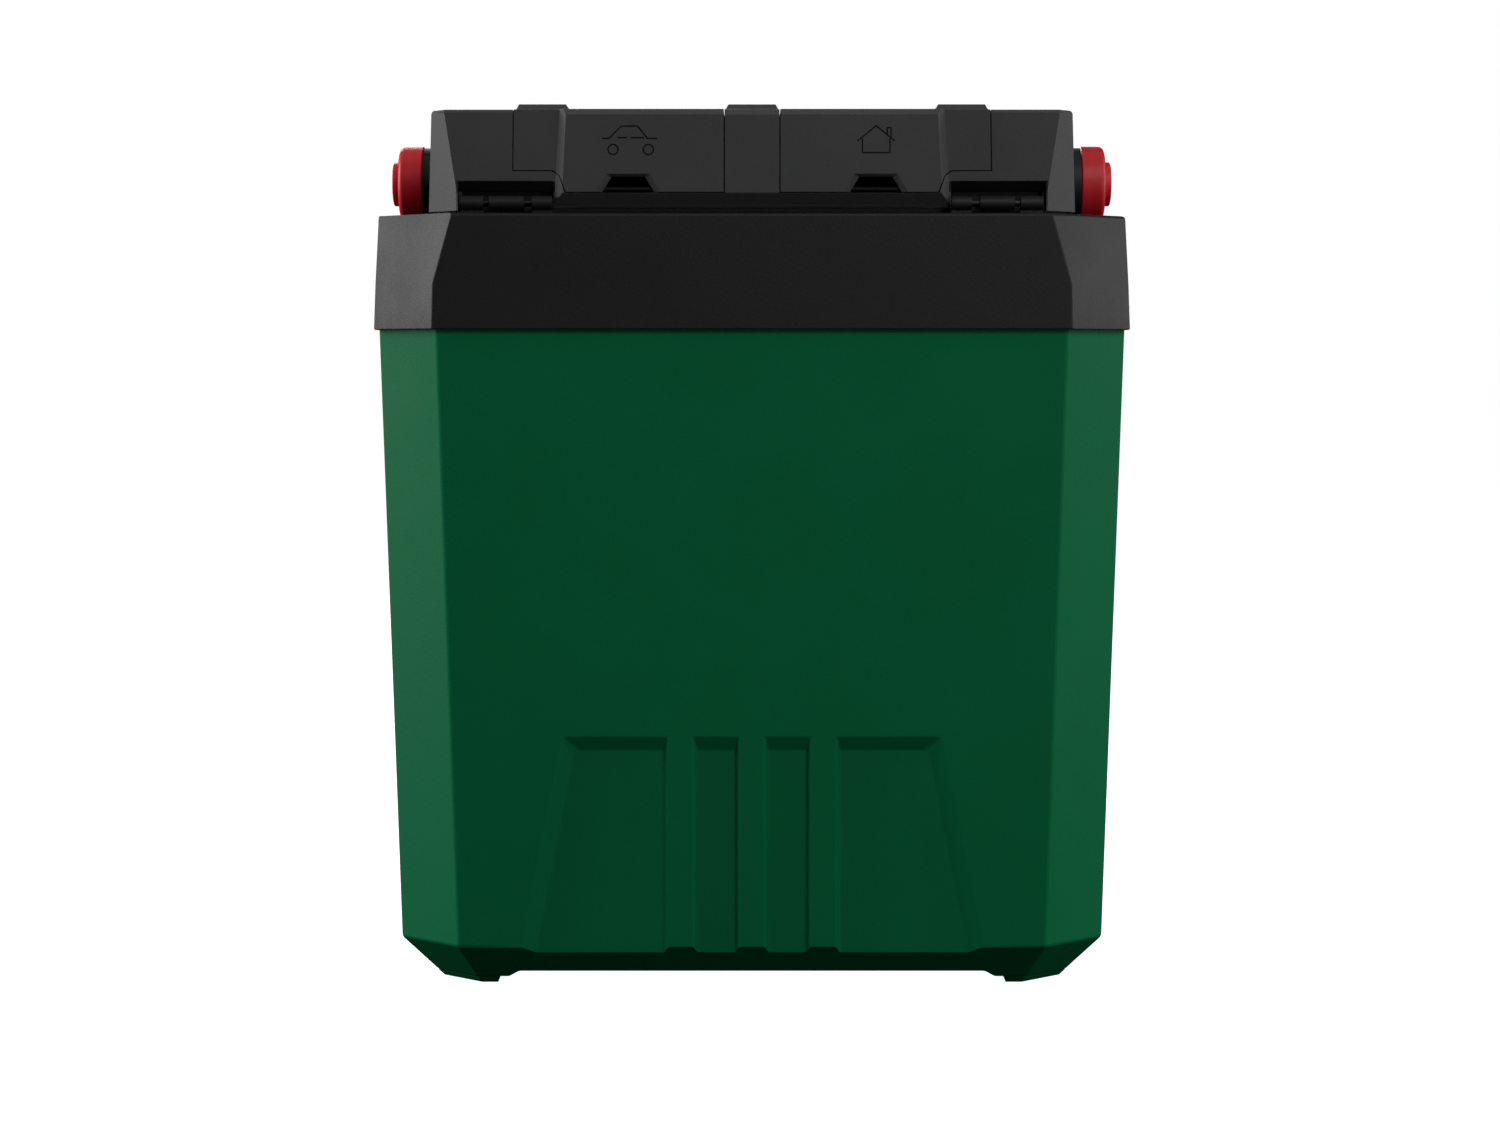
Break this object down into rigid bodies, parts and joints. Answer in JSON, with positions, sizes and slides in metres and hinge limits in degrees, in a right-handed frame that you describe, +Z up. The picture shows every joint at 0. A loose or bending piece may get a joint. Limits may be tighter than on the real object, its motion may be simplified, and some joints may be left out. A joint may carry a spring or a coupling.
{
  "type": "electric cooler box",
  "caption": "Tall electric cool box: tapered green body, black collar, hinged lid that holds the cooling unit and two cord bays with hinged doors, folding carry handle.",
  "frame": {"origin": "on the floor under the middle of the box", "axes": "+Z up, -Y is the front where the handle folds down, +Y is the rear with the lid hinge and the cord doors, +X is the right-hand side seen from the front"},
  "size_m": [0.4036, 0.3, 0.4667],
  "materials": {
    "green_shell": "fine-textured injection-moulded plastic",
    "black_shell": "fine-grained injection-moulded plastic",
    "dark_trim": "fine matt",
    "red_cap": "satin",
    "liner_grey": "smooth satin, food-safe",
    "foam": "rigid foam",
    "white_foam": "expanded foam",
    "seal_rubber": "soft matt",
    "grip_rubber": "ribbed matt",
    "steel": "plain zinc plated",
    "heat_aluminium": "extruded",
    "ceramic": "ceramic faces",
    "fan_plastic": "satin",
    "guard_grey": "satin",
    "board_green": "solder-mask",
    "lamp": "tinted lens",
    "switch_grey": "satin"
  },
  "bodies": {
    "box": {"outer_shell": "green_shell", "foot_pads": "green_shell", "foam_insulation": "foam", "inner_liner": "liner_grey", "top_collar": "black_shell", "collar_insulation": "foam", "collar_screws": "steel", "hinge_pins": "steel", "pivot_pins": "steel"},
    "lid": {"lid_housing": "black_shell", "lid_hinge_left": "black_shell", "lid_hinge_right": "black_shell", "door_hinge_strips": "black_shell", "lid_inner_panel": "liner_grey", "lid_insulation": "white_foam", "lid_seal": "seal_rubber", "lid_screws": "steel", "vent_grille_left": "dark_trim", "vent_grille_right": "dark_trim", "control_panel": "dark_trim", "indicator_lights": "lamp", "cord_bay_left": "dark_trim", "cord_bay_right": "dark_trim", "cord_gland_left": "seal_rubber", "cord_gland_right": "seal_rubber", "door_hinge_pins": "steel", "heat_sink": "heat_aluminium", "peltier_module": "ceramic", "cold_sink": "heat_aluminium", "fan_pillars": "steel", "outer_fan_frame": "fan_plastic", "inner_fan_frame": "fan_plastic", "inner_fan_guard": "guard_grey", "control_board": "board_green", "power_supply": "dark_trim"},
    "handle": {"handle_arm_left": "black_shell", "handle_arm_right": "black_shell", "handle_bar": "black_shell", "handle_grip": "grip_rubber", "handle_screws": "steel", "pivot_cap_left": "red_cap", "pivot_cap_right": "red_cap"},
    "door_left": {"cord_door_left": "black_shell"},
    "door_right": {"cord_door_right": "black_shell"},
    "outer_fan": {"outer_fan_rotor": "fan_plastic"},
    "inner_fan": {"inner_fan_rotor": "fan_plastic"},
    "switch_knob": {"mode_switch": "switch_grey"}
  },
  "joints": [
    {"name": "lid_hinge", "type": "hinge", "parent": "box", "child": "lid", "pos_m": [0, 0.14, 0.4148], "axis": [-1, 0, 0], "range_deg": [0, 95]},
    {"name": "handle_pivot", "type": "hinge", "parent": "box", "child": "handle", "pos_m": [0, 0, 0.4326], "axis": [-1, 0, 0], "range_deg": [0, 90]},
    {"name": "door_left_hinge", "type": "hinge", "parent": "lid", "child": "door_left", "pos_m": [-0.069, 0.097, 0.4604], "axis": [1, 0, 0], "range_deg": [0, 90]},
    {"name": "door_right_hinge", "type": "hinge", "parent": "lid", "child": "door_right", "pos_m": [0.069, 0.097, 0.4604], "axis": [1, 0, 0], "range_deg": [0, 90]},
    {"name": "outer_fan_spin", "type": "hinge", "parent": "lid", "child": "outer_fan", "pos_m": [0, 0.006, 0.445], "axis": [0, 0, 1], "continuous": true},
    {"name": "inner_fan_spin", "type": "hinge", "parent": "lid", "child": "inner_fan", "pos_m": [0, 0.006, 0.392], "axis": [0, 0, 1], "continuous": true},
    {"name": "mode_switch_slide", "type": "slide", "parent": "lid", "child": "switch_knob", "axis": [1, 0, 0], "range_m": [-0.007, 0.007]}
  ]
}
